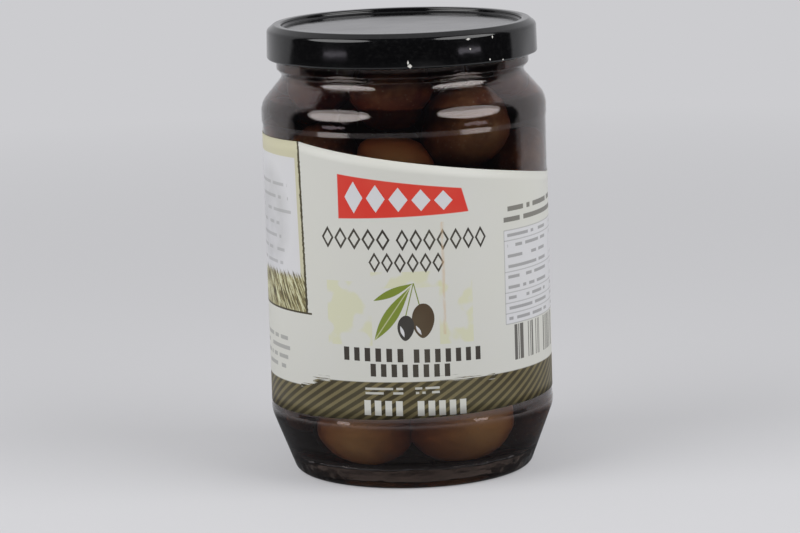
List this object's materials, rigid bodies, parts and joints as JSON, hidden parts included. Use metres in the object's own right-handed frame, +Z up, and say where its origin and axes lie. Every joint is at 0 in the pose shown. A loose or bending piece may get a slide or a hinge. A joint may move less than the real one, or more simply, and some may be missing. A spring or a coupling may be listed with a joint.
{
  "type": "jar of olives",
  "caption": "Shut clear glass jar of whole dark olives in brine, with a lacquered steel twist-off lid and a printed paper label round its body.",
  "frame": {"origin": "middle of the flat ring of glass that the jar stands on", "axes": "+Z up along the jar's axis, the front of the label looks along -Y"},
  "size_m": [0.09, 0.09, 0.1427],
  "materials": {
    "glass": "clear, smooth, with a faint green-grey tint where it is thick",
    "brine": "dark brown clear liquid",
    "olives": "wet, smooth skin, mottled from near black to olive brown",
    "lid_lacquer": "glossy black lacquer, chipped at the edges",
    "label_paper": "white coated paper, printed, slightly stained"
  },
  "bodies": {
    "root": {"jar": "glass", "brine": "brine", "lid": "lid_lacquer", "label": "label_paper"}
  },
  "joints": []
}
